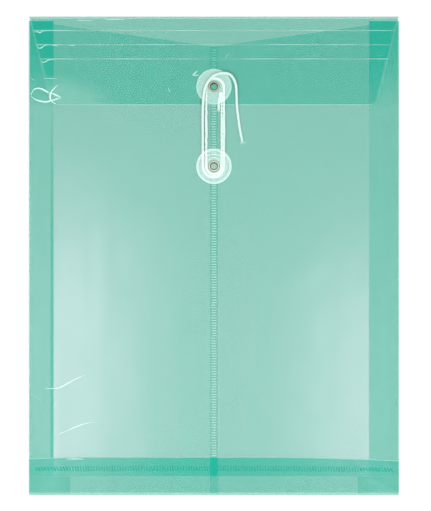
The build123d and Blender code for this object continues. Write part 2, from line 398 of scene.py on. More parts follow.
@dataclass(frozen=True)
class PolypropyleneFilm:
    """Extruded polypropylene film: clear green, glossy, with a soft grain, white at creases and at
    painted highlights.

    Light passes through, so each layer deepens the green, and creases turn chalky; the same whitening
    paints highlights and sheen on scores, edges, folds and marks.
    """

    name: str = "extruded_polypropylene_film"
    colour: str = "#0ca48e"
    streak_colour: str = "#069a84"
    crease_and_highlight_colour: str = "#f0faf6"
    opacity: float = 0.3
    crease_and_highlight_opacity: float = 0.62
    roughness: float = 0.24
    specular: float = 0.6
    sheen_colour: str = "#ffd0ea"
    dulled: tuple[float, float, float] | None = None
    dulled_roughness: float = 0.56
    ior: float = 1.49
    streak_mm: float = 14.0
    streak_stretch: float = 0.08
    streak_gloss: tuple[float, float] = (-0.06, 0.08)
    grain_mm: float = 1.1
    grain_depth_mm: float = 0.05
    grain_strength: float = 0.006
    ripple_mm: float = 38.0
    ripple_depth_mm: float = 1.0
    ripple_strength: float = 0.3

    def paleness(self, tree: Tree, spot: Socket) -> Socket:
        """Give the whitening that the mesh carries, 0 to 1, from bending or a painted highlight."""
        return add_node(tree, "ShaderNodeAttribute", {"attribute_name": "stress"}).outputs["Fac"]

    def dull(self, tree: Tree, spot: Socket, gloss: Socket) -> Socket:
        """Take the sheen off where the film lies rumpled over the pleats.

        Args:
            tree: Node tree of the material.
            spot: Place on the piece.
            gloss: Roughness of the smooth film.

        Returns:
            The roughness.
        """
        if not self.dulled:
            return gloss
        middle, start, end = self.dulled
        rumpled = rise_along(tree, spot, "X", start, end, self.dulled_roughness - self.roughness, middle)
        return add_node(tree, "ShaderNodeMath", {"operation": "ADD"}, {0: gloss, 1: rumpled}).outputs[0]

    def cover(self, tree: Tree, spot: Socket, stress: Socket) -> Socket:
        """Give the film's opacity, which rises where it is whitened by bending or a painted highlight.

        Args:
            tree: Node tree of the material.
            spot: Place on the piece.
            stress: Whitening from bending or a painted highlight, 0 to 1.

        Returns:
            The opacity.
        """
        return add_node(tree, "ShaderNodeMapRange", inputs={
            "Value": stress, "To Min": self.opacity, "To Max": self.crease_and_highlight_opacity}).outputs["Result"]

    def make(self) -> Material:
        """Build the material.

        Returns:
            The film's material.
        """
        material, tree, shader = new_material(self.name)
        shader.inputs["IOR"].default_value = self.ior
        shader.inputs["Specular IOR Level"].default_value = self.specular
        shader.inputs["Specular Tint"].default_value = linear(self.sheen_colour)
        spot = add_node(tree, "ShaderNodeTexCoord").outputs["Object"]
        stress = self.paleness(tree, spot)
        # Streaks run along the sheet as it was drawn from the die
        drawn = add_node(tree, "ShaderNodeMapping", inputs={
            "Vector": spot, "Scale": (1.0, self.streak_stretch, 1.0)})
        streak = add_node(tree, "ShaderNodeTexNoise", inputs={
            "Vector": drawn.outputs[0], "Scale": 1 / (self.streak_mm * MM), "Detail": 3.0})
        tint = add_node(tree, "ShaderNodeMix", {"data_type": "RGBA"}, {
            "Factor": streak.outputs["Fac"], "A": linear(self.colour), "B": linear(self.streak_colour)})
        # Painted highlights mix towards the same pale colour as the whitening of real creases
        crease = add_node(tree, "ShaderNodeMix", {"data_type": "RGBA"}, {
            "Factor": stress, "A": tint.outputs["Result"], "B": linear(self.crease_and_highlight_colour)})
        tree.links.new(crease.outputs["Result"], shader.inputs["Base Color"])
        tree.links.new(self.cover(tree, spot, stress), shader.inputs["Alpha"])
        smoother, rougher = self.streak_gloss
        gloss = add_node(tree, "ShaderNodeMapRange", inputs={
            "Value": streak.outputs["Fac"], "To Min": self.roughness + smoother,
            "To Max": self.roughness + rougher})
        tree.links.new(self.dull(tree, spot, gloss.outputs["Result"]), shader.inputs["Roughness"])
        # The grain is finer on the real film; it is drawn as coarse as it needs to show
        grain = add_node(tree, "ShaderNodeTexNoise", inputs={
            "Vector": spot, "Scale": 1 / (self.grain_mm * MM), "Detail": 2.0})
        ripple = add_node(tree, "ShaderNodeTexNoise", inputs={
            "Vector": spot, "Scale": 1 / (self.ripple_mm * MM), "Detail": 1.0})
        fine = add_node(tree, "ShaderNodeBump", inputs={
            "Strength": self.grain_strength, "Distance": self.grain_depth_mm * MM,
            "Height": grain.outputs["Fac"]})
        broad = add_node(tree, "ShaderNodeBump", inputs={
            "Strength": self.ripple_strength, "Distance": self.ripple_depth_mm * MM,
            "Height": ripple.outputs["Fac"], "Normal": fine.outputs["Normal"]})
        tree.links.new(broad.outputs["Normal"], shader.inputs["Normal"])
        return material


@dataclass(frozen=True)
class LayeredFilm(PolypropyleneFilm):
    """The same film close on other layers: deeper past a line and along a crease, pale at a fold as a
    painted reflection.
    """

    name: str = "layered_polypropylene_film"
    specular: float = 0.1
    deep_opacity: float = 0.42
    deep_from: float = 96.0
    deep_to: float = 140.0
    crease: tuple[float, float] | None = None
    crease_fade: tuple[float, float] = (110.0, -125.0)
    doubled_opacity: float = 0.6
    fold: tuple[float, float] | None = None
    fold_white_and_sheen: float = 0.45

    def paleness(self, tree: Tree, spot: Socket) -> Socket:
        """Give the whitening from bending, with a painted reflection along the film's outer fold added.

        Args:
            tree: Node tree of the material.
            spot: Place on the piece.

        Returns:
            Whitening, 0 to 1.
        """
        stress = super().paleness(tree, spot)
        if not self.fold:
            return stress
        # Painted reflection: the pleat's outer fold is drawn pale, as if it caught the white surround
        pale = rise_along(tree, spot, "X", *self.fold, self.fold_white_and_sheen, middle=0.0)
        return add_node(tree, "ShaderNodeMath", {"operation": "MAXIMUM"}, {0: stress, 1: pale}).outputs[0]

    def cover(self, tree: Tree, spot: Socket, stress: Socket) -> Socket:
        """Give the opacity: more past the line along Y, and along the crease towards the bottom.

        Args:
            tree: Node tree of the material.
            spot: Place on the piece.
            stress: Whitening from bending or a painted highlight, 0 to 1.

        Returns:
            The opacity.
        """
        base = super().cover(tree, spot, stress)
        deep = rise_along(tree, spot, "Y", self.deep_from, self.deep_to, self.deep_opacity - self.opacity)
        total = add_node(tree, "ShaderNodeMath", {"operation": "ADD"}, {0: base, 1: deep}).outputs[0]
        if not self.crease:
            return total
        inside = rise_along(tree, spot, "X", *self.crease)
        fade = rise_along(tree, spot, "Y", *self.crease_fade, self.doubled_opacity - self.opacity)
        doubled = add_node(tree, "ShaderNodeMath", {"operation": "MULTIPLY"}, {0: inside, 1: fade})
        return add_node(tree, "ShaderNodeMath", {"operation": "ADD"}, {
            0: total, 1: doubled.outputs[0]}).outputs[0]


@dataclass(frozen=True)
class MouldedWasher:
    """Moulded natural polypropylene: milky, half clear, with turned rings from its mould."""

    colour: str = "#f2faf7"
    deep_colour: str = "#cfe8e0"
    opacity: float = 0.14
    rim_opacity: float = 0.42
    ring_opacity: float = 0.3
    roughness: float = 0.3
    ior: float = 1.49
    ring_mm: float = 2.4
    ring_depth_mm: float = 0.06
    ring_strength: float = 0.35
    ring_from: float = 0.55
    mottle: tuple[float, float] = (0.1, 0.45)
    cloud_mm: float = 5.0
    rim_mm: float = 0.9

    def make(self, name: str, centre: Vector, rim: float) -> Material:
        """Build the material of one washer.

        Args:
            name: Name of the material.
            centre: The washer's axis, in millimetres.
            rim: Its outer radius, in millimetres.

        Returns:
            The washer's material.
        """
        material, tree, shader = new_material(name)
        shader.inputs["IOR"].default_value = self.ior
        shader.inputs["Roughness"].default_value = self.roughness
        spot = add_node(tree, "ShaderNodeTexCoord").outputs["Object"]
        radius = axis_radius(tree, spot, centre)
        turns = add_node(tree, "ShaderNodeMath", {"operation": "MULTIPLY"}, {
            0: radius, 1: 2 * math.pi / (self.ring_mm * MM)})
        rings = add_node(tree, "ShaderNodeMath", {"operation": "SINE"}, {0: turns.outputs[0]})
        cloud = add_node(tree, "ShaderNodeTexNoise", inputs={
            "Vector": spot, "Scale": 1 / (self.cloud_mm * MM), "Detail": 2.0})
        least, most = self.mottle
        shade = add_node(tree, "ShaderNodeMapRange", inputs={
            "Value": rings.outputs[0], "From Min": -1.0, "To Min": least, "To Max": most})
        mottle = add_node(tree, "ShaderNodeMath", {"operation": "MULTIPLY"}, {
            0: shade.outputs["Result"], 1: cloud.outputs["Fac"]})
        tint = add_node(tree, "ShaderNodeMix", {"data_type": "RGBA"}, {
            "Factor": mottle.outputs[0], "A": linear(self.colour), "B": linear(self.deep_colour)})
        tree.links.new(tint.outputs["Result"], shader.inputs["Base Color"])
        # The mould's steps and the thick rim catch the light as milky circles on clear plastic
        steps = add_node(tree, "ShaderNodeMapRange", inputs={
            "Value": rings.outputs[0], "From Min": self.ring_from, "To Min": self.opacity,
            "To Max": self.ring_opacity})
        edge = add_node(tree, "ShaderNodeMapRange", inputs={
            "Value": radius, "From Min": (rim - self.rim_mm) * MM,
            "From Max": (rim - self.rim_mm / 2) * MM, "To Max": self.rim_opacity})
        cover = add_node(tree, "ShaderNodeMath", {"operation": "MAXIMUM"}, {
            0: steps.outputs["Result"], 1: edge.outputs["Result"]})
        tree.links.new(cover.outputs[0], shader.inputs["Alpha"])
        bump = add_node(tree, "ShaderNodeBump", inputs={
            "Strength": self.ring_strength, "Distance": self.ring_depth_mm * MM,
            "Height": rings.outputs[0]})
        tree.links.new(bump.outputs["Normal"], shader.inputs["Normal"])
        return material


@dataclass(frozen=True)
class PressedBrass:
    """Pressed brass under thin nickel: pale gold, with a painted highlight on the crown of its roll,
    painted shade at the bore and dull patches at random.
    """

    # Painted light: a highlight ring on the crown and painted shade at the bore's edge, darker brass
    # outside, all tinted green as a painted reflection of the film
    painted_roll_light: tuple[tuple[float, str], ...] = (
        (2.1, "#262c22"),
        (2.6, "#3c4032"),
        (2.85, "#b6bea8"),
        (3.15, "#8c8c7a"),
        (3.4, "#6c6654"),
        (3.6, "#4a443a"),
    )
    dull_colour: str = "#66604e"
    roughness: float = 0.28
    patch_mm: float = 1.1
    patch_depth_mm: float = 0.03
    patch_strength: float = 0.15
    patch_gloss: tuple[float, float] = (-0.08, 0.18)
    worn_from: float = 0.45
    worn_to: float = 0.8
    worn_share: float = 0.5

    def make(self, name: str, centre: Vector) -> Material:
        """Build the material of one eyelet, with a painted highlight on the crown of its roll and painted
        shade beside it.

        Args:
            name: Name of the material.
            centre: The eyelet's axis, in millimetres.

        Returns:
            The eyelet's material.
        """
        material, tree, shader = new_material(name)
        shader.inputs["Metallic"].default_value = 1.0
        spot = add_node(tree, "ShaderNodeTexCoord").outputs["Object"]
        radius = axis_radius(tree, spot, centre)
        inner, outer = self.painted_roll_light[0][0], self.painted_roll_light[-1][0]
        share = add_node(tree, "ShaderNodeMapRange", inputs={
            "Value": radius, "From Min": inner * MM, "From Max": outer * MM})
        roll = add_node(tree, "ShaderNodeValToRGB", inputs={0: share.outputs["Result"]})
        stops = roll.color_ramp.elements
        while len(stops) < len(self.painted_roll_light):
            stops.new(1.0)
        for stop, (place, colour) in zip(stops, self.painted_roll_light):
            stop.position = (place - inner) / (outer - inner)
            stop.color = linear(colour)
        patch = add_node(tree, "ShaderNodeTexNoise", inputs={
            "Vector": spot, "Scale": 1 / (self.patch_mm * MM), "Detail": 4.0})
        worn = add_node(tree, "ShaderNodeMapRange", inputs={
            "Value": patch.outputs["Fac"], "From Min": self.worn_from, "From Max": self.worn_to,
            "To Max": self.worn_share})
        tint = add_node(tree, "ShaderNodeMix", {"data_type": "RGBA"}, {
            "Factor": worn.outputs["Result"], "A": roll.outputs["Color"], "B": linear(self.dull_colour)})
        tree.links.new(tint.outputs["Result"], shader.inputs["Base Color"])
        smoother, rougher = self.patch_gloss
        gloss = add_node(tree, "ShaderNodeMapRange", inputs={
            "Value": patch.outputs["Fac"], "To Min": self.roughness + smoother,
            "To Max": self.roughness + rougher})
        tree.links.new(gloss.outputs["Result"], shader.inputs["Roughness"])
        bump = add_node(tree, "ShaderNodeBump", inputs={
            "Strength": self.patch_strength, "Distance": self.patch_depth_mm * MM,
            "Height": patch.outputs["Fac"]})
        tree.links.new(bump.outputs["Normal"], shader.inputs["Normal"])
        return material


@dataclass(frozen=True)
class TwistedCotton:
    """Bleached cotton yarn: matt white, fibrous, mottled a little darker at random, with a painted green
    tint of light bounced from the film.
    """

    # Painted bounce light: both colours are tinted green for the light that the film throws on the cord
    colour: str = "#e2f7f0"
    fibre_tone_colour: str = "#b2d2c8"
    roughness: float = 0.88
    sheen: float = 0.35
    fibre_mm: float = 0.35
    fibre_depth_mm: float = 0.06
    fibre_strength: float = 0.5

    def make(self) -> Material:
        """Build the material.

        Returns:
            The cord's material.
        """
        material, tree, shader = new_material("twisted_cotton")
        shader.inputs["Roughness"].default_value = self.roughness
        shader.inputs["Sheen Weight"].default_value = self.sheen
        spot = add_node(tree, "ShaderNodeTexCoord").outputs["Object"]
        fibre = add_node(tree, "ShaderNodeTexNoise", inputs={
            "Vector": spot, "Scale": 1 / (self.fibre_mm * MM), "Detail": 5.0})
        tint = add_node(tree, "ShaderNodeMix", {"data_type": "RGBA"}, {
            "Factor": fibre.outputs["Fac"], "A": linear(self.colour), "B": linear(self.fibre_tone_colour)})
        tree.links.new(tint.outputs["Result"], shader.inputs["Base Color"])
        bump = add_node(tree, "ShaderNodeBump", inputs={
            "Strength": self.fibre_strength, "Distance": self.fibre_depth_mm * MM,
            "Height": fibre.outputs["Fac"]})
        tree.links.new(bump.outputs["Normal"], shader.inputs["Normal"])
        return material


# Pieces of the envelope


@dataclass
class Pocket:
    """Back, side pleats and welded front, with the turned-up bottom and its weld ribs."""

    front_film: Material
    back_film: Material
    band_film: Material
    weld_film: Material
    seam_film: Material
    corner_film: Material
    pleat_films: dict[Side, Material]
    thickness: float = 0.2
    seam_width: float = 5.2
    mouth_dip: float = 17.5
    collar_room: float = 4.6
    seam_rib_width: float = 3.0
    seam_rib_length: float = 0.75
    seam_rib_pitch: float = 1.65
    seam_rib_height: float = 0.14
    seam_rib_highlight: float = 0.5
    tail_thickness: float = 0.04
    tail_margin: float = 1.6
    tail_gap: float = 0.3
    band_rib_width: float = 0.58
    band_rib_length: float = 3.4
    band_rib_pitch: float = 1.7
    band_rib_height: float = 0.12
    band_rib_drop: float = 7.6
    band_rib_slant: float = 12.0
    corner_rib_width: float = 0.8
    corner_rib_pitch: float = 2.0
    corner_rib_length: float = 2.9
    corner_rib_slant: float = 32.0
    edge_flat: tuple[float, float] = (-80.0, 40.0)
    edge_drop: tuple[float, float] = (1.0, 2.4)
    edge_curve: float = 1.5
    edge_gap: float = 1.0
    edge_highlights: tuple[tuple[float, float], ...] = ((0.5, 0.1), (0.0, 0.3))
    fold_white_and_sheen: float = 0.3
    fold_share: float = 84.0
    fold_steps: int = 16
    fold_gap: float = 1.5
    band_rows: int = 12
    columns: int = 48

    def build(self) -> None:
        """Build each piece of the pocket and dress the flat panels."""
        self.dress_panels()
        self.bottom_band()
        self.top_fold()
        self.seam_ribs()
        self.seam_tail()
        self.band_ribs()

    def dress_panels(self) -> None:
        """Give the flat CAD panels and the pleats their film."""
        dress("back_panel", self.back_film)
        for side in Side:
            dress(f"front_{side.value}_panel", self.front_film, clear=True)
            dress(f"{side.value}_corner_fold", self.back_film, clear=True)
        for side, film in self.pleat_films.items():
            for half in ("back_half", "front_half"):
                dress(f"{side.value}_gusset_{half}", film, clear=True)

    def drop_at(self, x: float, y: float) -> float:
        """Say how far the band's film hangs lower than a straight band would.

        Args:
            x: Place across.
            y: Place along, on a straight band.

        Returns:
            Drop in millimetres, most at the ends of the upper edge and none below the front's end.
        """
        front_end, edge = box_mm("front_left_panel")[0].y, box_mm("bottom_band")[1]
        left, right = self.edge_flat
        share = min(1.0, max(0.0, (y - front_end) / (edge.y - front_end)))
        if x < left:
            return share * self.edge_drop[0] * ((left - x) / (left + edge.x)) ** self.edge_curve
        return share * self.edge_drop[1] * (max(0.0, x - right) / (edge.x - right)) ** self.edge_curve

    def bottom_band(self) -> None:
        """Turn the back's film up round the bottom, loose enough to open when the pocket fills."""
        low, high = box_mm("bottom_band")
        radius = (high.z - low.z - self.thickness) / 2
        start = low.y + radius + self.thickness / 2
        profile = []
        # The fold's rows are drawn white, partly crease whitening and partly a painted highlight
        for angle in spread(-90, -270, self.fold_steps):
            turn = math.radians(angle)
            profile.append((start + radius * math.cos(turn),
                            (low.z + high.z) / 2 + radius * math.sin(turn), self.fold_white_and_sheen))
        flat = high.z - self.thickness / 2
        plain = spread(start + self.fold_gap, high.y - self.edge_gap, self.band_rows)
        profile += [(spot, flat, 0.0) for spot in plain]
        # Painted highlight along the band's upper edge
        profile += [(high.y - inset, flat, white) for inset, white in self.edge_highlights]
        rows = [
            [((x, y - self.drop_at(x, y), z), white) for x in spread(low.x, high.x, self.columns)]
            for y, z, white in profile
        ]
        band = film_sheet("turned_up_band", rows, self.thickness)
        settle(band, None, Slot.FILM, self.band_film, "bottom_band")
        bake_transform(band)

    def top_fold(self) -> None:
        """Carry the back's film up to the crease that the flap turns on."""
        low, high = box_mm("top_fold")
        radius = (high.y - low.y) / math.sin(math.radians(self.fold_share)) - self.thickness / 2
        rows = []
        for angle in spread(-90, self.fold_share - 90, self.fold_steps):
            turn = math.radians(angle)
            spot = (low.y + radius * math.cos(turn), self.thickness / 2 + radius * (1 + math.sin(turn)))
            # Whitening towards the crease, partly crease whitening and partly a painted highlight
            white = self.fold_white_and_sheen * (angle + 90) / self.fold_share
            rows.append([((x, spot[0], spot[1]), white) for x in spread(high.x, low.x, self.columns)])
        fold = film_sheet("flap_fold_back", rows, self.thickness)
        settle(fold, None, Slot.FILM, self.back_film, "top_fold")
        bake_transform(fold)

    def rib(self, middle: Vector, width: float, length: float, height: float,
            slant: float = 0.0) -> Shape:
        """Shape one low, rounded weld rib on the film.

        Args:
            middle: Middle of its foot.
            width: Size along X before it is slanted.
            length: Size along Y before it is slanted.
            height: Rise above the film.
            slant: Turn about Z, in degrees.

        Returns:
            Vertex positions and faces.
        """
        turn = math.radians(slant)
        vertices = []
        # Share of the foot's half width and share of the height, from the foot to the crown
        levels = ((1.0, -0.02), (0.82, 0.62), (0.5, 1.0))
        for share, rise in levels:
            for along, across in ((-1, -1), (1, -1), (1, 1), (-1, 1)):
                x = along * (width / 2 - (1 - share) * min(width, length) / 2)
                y = across * (length / 2 - (1 - share) * min(width, length) / 2)
                vertices.append((
                    middle.x + x * math.cos(turn) - y * math.sin(turn),
                    middle.y + x * math.sin(turn) + y * math.cos(turn),
                    middle.z + rise * height,
                ))
        faces = [(3, 2, 1, 0), (8, 9, 10, 11)]
        for level in (0, 4):
            for corner in range(4):
                after = (corner + 1) % 4
                faces.append((level + corner, level + after, level + 4 + after, level + 4 + corner))
        return vertices, faces

    def seam_ribs(self) -> None:
        """Press the crosswise weld ribs into the lapped seam, from the band to the mouth."""
        low, high = box_mm("front_right_panel")
        band_top = box_mm("bottom_band")[1].y
        collars = [sum(box_mm(washer), Vector()).y / 2 for washer in ("lower_washer", "upper_washer")]
        mouth = high.y - self.mouth_dip
        middle = low.x + self.seam_width / 2
        ribs = []
        count = int((mouth - band_top) / self.seam_rib_pitch)
        for index in range(count):
            y = band_top + self.seam_rib_pitch * (index + 0.5)
            if min(abs(y - collar) for collar in collars) < self.collar_room:
                continue
            ribs.append(self.rib(Vector((middle, y, high.z)), self.seam_rib_width, self.seam_rib_length,
                                 self.seam_rib_height))
        vertices, faces = join_shapes(ribs)
        # The ribs are drawn pale as a painted highlight
        piece = mesh_piece("seam_weld_ribs", vertices, faces, [self.seam_rib_highlight] * len(vertices))
        settle(piece, "front", Slot.FILM, self.front_film)

    def seam_tail(self) -> None:
        """Deepen the welded seam and carry it over the band, deeper where the weld crosses it."""
        low, high = box_mm("bottom_band")
        front_end = box_mm("front_left_panel")[0].y
        half = self.seam_width / 2
        front = box_mm("front_right_panel")[1]
        tail_end = high.y - self.tail_gap
        # Start, end, surface that it lies on, layers under it there, and film
        stretches = (
            ("seam_weld", high.y, front.y - self.mouth_dip, front.z, 0, self.seam_film),
            ("seam_tail", low.y + self.tail_margin, tail_end, high.z, 0, self.back_film),
            ("seam_tail_weld", front_end, tail_end, high.z, 1, self.weld_film),
        )
        for name, start, end, top, layers, film in stretches:
            level = top + self.tail_thickness * (layers + 0.5)
            rows = [[((x, y, level), 0.0) for x in spread(-half, half, 4)] for y in spread(start, end, 8)]
            settle(film_sheet(name, rows, self.tail_thickness), "front", Slot.FILM, film)

    def band_ribs(self) -> None:
        """Press the row of short weld ribs that closes the bottom band."""
        high = box_mm("bottom_band")[1]
        y = high.y - self.band_rib_drop
        corner_start = box_mm("right_corner_fold")[0].x
        plain, slanted = [], []
        for x in spread(-corner_start, corner_start, int(2 * corner_start / self.band_rib_pitch)):
            middle = Vector((x, y - self.drop_at(x, y), high.z))
            plain.append(self.rib(middle, self.band_rib_width, self.band_rib_length, self.band_rib_height,
                                  self.band_rib_slant))
        reach = high.x - self.corner_rib_length - corner_start
        for step in range(1, int(reach / self.corner_rib_pitch) + 1):
            place = corner_start + step * self.corner_rib_pitch
            for x in (-place, place):
                middle = Vector((x, y - self.drop_at(x, y), high.z))
                slanted.append(self.rib(middle, self.corner_rib_width, self.corner_rib_length,
                                        self.band_rib_height, self.corner_rib_slant))
        # The corners are welded through more layers, so their strokes press deeper
        for name, ribs, film in (("band_weld_ribs", plain, self.weld_film),
                                 ("corner_weld_ribs", slanted, self.corner_film)):
            vertices, faces = join_shapes(ribs)
            settle(mesh_piece(name, vertices, faces, [0.0] * len(vertices)), "front", Slot.FILM, film)


@dataclass
class Flap:
    """The fold-over flap: three scored strips and a tongue with a riveted hole."""

    film: Material
    thickness: float = 0.2
    bead_width: float = 0.45
    bead_height: float = 0.16
    bead_steps: int = 3
    score_pitch: float = 9.0
    whiten_glint_even: float = 0.24
    whiten_glint_patchy: float = 0.26
    whiten_glint_waves: tuple[float, float] = (0.11, 0.043)
    whiten_glint_end: float = 0.12
    whiten_glint_end_place: tuple[float, float] = (-104.0, 11.0)
    fold_white_and_sheen: float = 0.3
    fold_steps: int = 10
    corner_radius: float = 5.0
    corner_steps: int = 9
    corner_lift: float = 1.1
    lift_reach: tuple[float, float] = (26.0, 18.0)
    buckle_sheen: float = 0.17
    buckle_reach: tuple[float, float] = (46.0, 21.0)
    edge_highlight: float = 0.38
    edge_width: float = 0.35
    side_highlight: float = 0.2
    bead_gap: float = 0.3
    turn_gap: float = 0.4
    strip_rows: int = 5
    tongue_rows: int = 28
    columns: int = 96
    hole_radius: float = 2.42
    hole_room: float = 4.0
    hole_pitch: float = 0.5
    strips: tuple[tuple[str, str], ...] = (
        ("flap_upper_strip", "flap_upper"),
        ("flap_middle_strip", "flap_middle"),
        ("flap_lower_strip", "flap_lower"),
        ("flap_tongue", "flap_end"),
    )

    def build(self) -> None:
        """Build the strips and the tongue."""
        for node, body in self.strips:
            self.strip(node, body)

    def half_width(self, y: float) -> float:
        """Give the flap's half width at a height.

        Args:
            y: Height on the envelope.

        Returns:
            Half width, narrower towards the free edge and round at its corners.
        """
        upper, tongue = box_mm("flap_upper_strip")[1], box_mm("flap_tongue")
        taper = (upper.x - tongue[1].x) / (upper.y - tongue[1].y)
        width = tongue[1].x - (tongue[1].y - y) * taper
        into = y - tongue[0].y
        if into < self.corner_radius:
            rise = self.corner_radius - into
            width -= self.corner_radius - math.sqrt(max(self.corner_radius ** 2 - rise ** 2, 0.0))
        return width

    def whiten_and_glint(self, x: float, place: float) -> float:
        """Vary a score's whitening along its length, partly crease whitening and partly a painted
        highlight: strongest at the left end, patchy elsewhere.

        Args:
            x: Place along the score.
            place: Which score, so that the three differ.

        Returns:
            Whitening from 0 to 1.
        """
        quick, slow = self.whiten_glint_waves
        patch = 0.5 + 0.5 * math.sin(quick * x + place) * math.sin(slow * x + 2.1 * place)
        middle, reach = self.whiten_glint_end_place
        left = math.exp(-((x - middle) / reach) ** 2)
        return self.whiten_glint_even + self.whiten_glint_patchy * patch + self.whiten_glint_end * left

    def strip(self, node: str, body: str) -> None:
        """Build one strip of the flap with the raised score beads along its edges.

        Args:
            node: CAD node that it replaces.
            body: Body that carries it.
        """
        low, high = box_mm(node)
        flat = high.z - self.thickness / 2
        first, last = node == "flap_upper_strip", node == "flap_tongue"
        washer = sum(corner.y for corner in box_mm("upper_washer")) / 2
        edges = spread(0.0, self.bead_width, self.bead_steps)
        profile = []
        if first:
            radius = high.z - low.z - self.thickness / 2
            # The fold's rows are drawn white, partly crease whitening and partly a painted highlight
            for angle in spread(0, 90, self.fold_steps):
                turn = math.radians(angle)
                profile.append((high.y - radius - self.thickness / 2 + radius * math.cos(turn),
                                low.z + radius * math.sin(turn), self.fold_white_and_sheen))
            top = profile[-1][0] - self.turn_gap
        else:
            top = high.y - self.bead_width - self.bead_gap
            profile += [(high.y - edge, None, edge) for edge in edges]
        if last:
            # Rows stand closer round the hole and the rounded corners
            middle = spread(top, low.y + self.corner_radius + self.turn_gap, self.tongue_rows)
            middle = [y for y in middle if abs(y - washer) > self.hole_room]
            middle += spread(washer + self.hole_room, washer - self.hole_room,
                             round(2 * self.hole_room / self.hole_pitch))
            middle.sort(reverse=True)
            middle += [low.y + self.corner_radius * (1 - math.sin(math.radians(angle)))
                       for angle in spread(0, 90, self.corner_steps)]
        else:
            middle = spread(top, low.y + self.bead_width + self.bead_gap, self.strip_rows)
        profile += [(y, flat, 0.0) for y in middle]
        if not last:
            profile += [(low.y + edge, None, edge) for edge in reversed(edges)]
        rows = []
        for y, level, white in profile:
            row = [self.film_point(x, y, level, white, flat, node)
                   for x in reversed(self.columns_at(self.half_width(y), last))]
            # Painted highlight along both cut sides of the strip
            for end in (0, -1):
                row[end] = (row[end][0], max(row[end][1], self.side_highlight))
            rows.append(row)
        hole = (0.0, washer, self.hole_radius) if last else None
        piece = film_sheet(node.replace("flap_", "scored_flap_"), rows, self.thickness, hole)
        settle(piece, body, Slot.FILM, self.film, node)

    def columns_at(self, width: float, dense: bool) -> list[float]:
        """Place the columns of one row, closer together round the riveted hole.

        Args:
            width: Half width of the row.
            dense: Whether the row's film has the hole.

        Returns:
            Places along X.
        """
        if not dense:
            return spread(-width, width, 2 * self.columns)
        outer = spread(self.hole_room, width, self.columns // 2)
        count = round(self.hole_room / self.hole_pitch)
        inner = [self.hole_pitch * step for step in range(1 - count, count)]
        return [-x for x in reversed(outer)] + inner + outer

    def near_corner(self, x: float, y: float, reach: tuple[float, float]) -> float:
        """Say how near a place on the tongue is to its left corner.

        Args:
            x: Place across.
            y: Place along.
            reach: Distances along X and Y at which it counts as away.

        Returns:
            1 at the corner, 0 at the reach and beyond.
        """
        across, along = x + self.half_width(y), y - box_mm("flap_tongue")[0].y
        return max(0.0, 1 - math.hypot(across / reach[0], along / reach[1]))

    def lift_at(self, x: float, y: float) -> float:
        """Give the left corner's lift at a place on the tongue, in millimetres."""
        return self.corner_lift * self.near_corner(x, y, self.lift_reach) ** 2

    def film_point(self, x: float, y: float, level: float | None, white: float, flat: float,
                   node: str) -> tuple[Point, float]:
        """Give one point of the flap's film, with its bead, its lift and its whitening, which carries
        painted highlights.

        Args:
            x: Place across.
            y: Place along.
            level: Height of the film's middle, or None on a score bead.
            white: Whitening, or the distance from the score on a bead.
            flat: Height of the flat film's middle.
            node: CAD node of the strip.

        Returns:
            The point and its whitening.
        """
        if level is None:
            share = 1 - white / self.bead_width
            level = flat + self.bead_height * share * (1 - share) * 4
            return (x, y, level), min(1.0, self.whiten_and_glint(x, round(y / self.score_pitch)) * share)
        if node != "flap_tongue":
            return (x, y, level), white
        # Painted highlight along the tongue's free edge
        edge = self.edge_highlight if y - box_mm(node)[0].y < self.edge_width else 0.0
        # Painted sheen: the buckled corner is drawn paler than the rest, where it catches the light
        buckled = self.buckle_sheen * min(1.0, 2 * self.near_corner(x, y, self.buckle_reach))
        return (x, y, level + self.lift_at(x, y)), max(edge, buckled)


@dataclass(frozen=True)
class Crease:
    """One crease line drawn white, partly crease whitening and partly a painted highlight: the panel it
    lies on, its half width, its whitening and its line.
    """

    node: str
    half_width: float
    white: float
    spots: tuple[tuple[float, float], ...]

    def swell(self, share: float) -> float:
        """Give the half width at a share of the length, thin at both ends."""
        return self.half_width * (0.2 + 0.8 * math.sin(math.pi * share))


